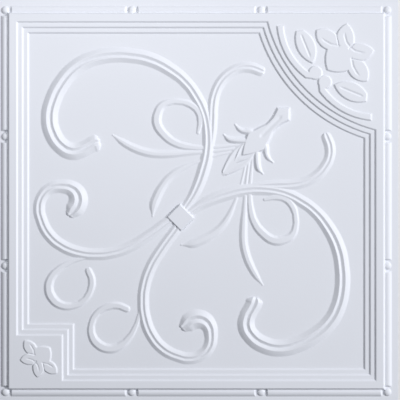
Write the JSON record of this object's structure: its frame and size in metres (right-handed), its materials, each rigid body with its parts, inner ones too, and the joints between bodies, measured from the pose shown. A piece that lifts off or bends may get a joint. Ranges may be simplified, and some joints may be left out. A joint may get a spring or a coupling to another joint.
{
  "type": "vinyl drop-in ceiling tile",
  "caption": "Square thermoformed vinyl lay-in ceiling tile with a beaded edge, stepped border and panel, pressed-tin style scrolls and corner flowers in relief.",
  "frame": {"origin": "centre of the tile, on the back of the flat rim and panel, where the tile rests when it lies face up", "axes": "+Z out of the decorated face, +X and +Y along the two sides, with the arc corner at +X +Y and the notched corner at -X -Y"},
  "size_m": [0.603, 0.603, 0.0088],
  "materials": {
    "white_vinyl": "satin"
  },
  "bodies": {
    "root": {"ceiling_tile": "white_vinyl"}
  },
  "joints": []
}
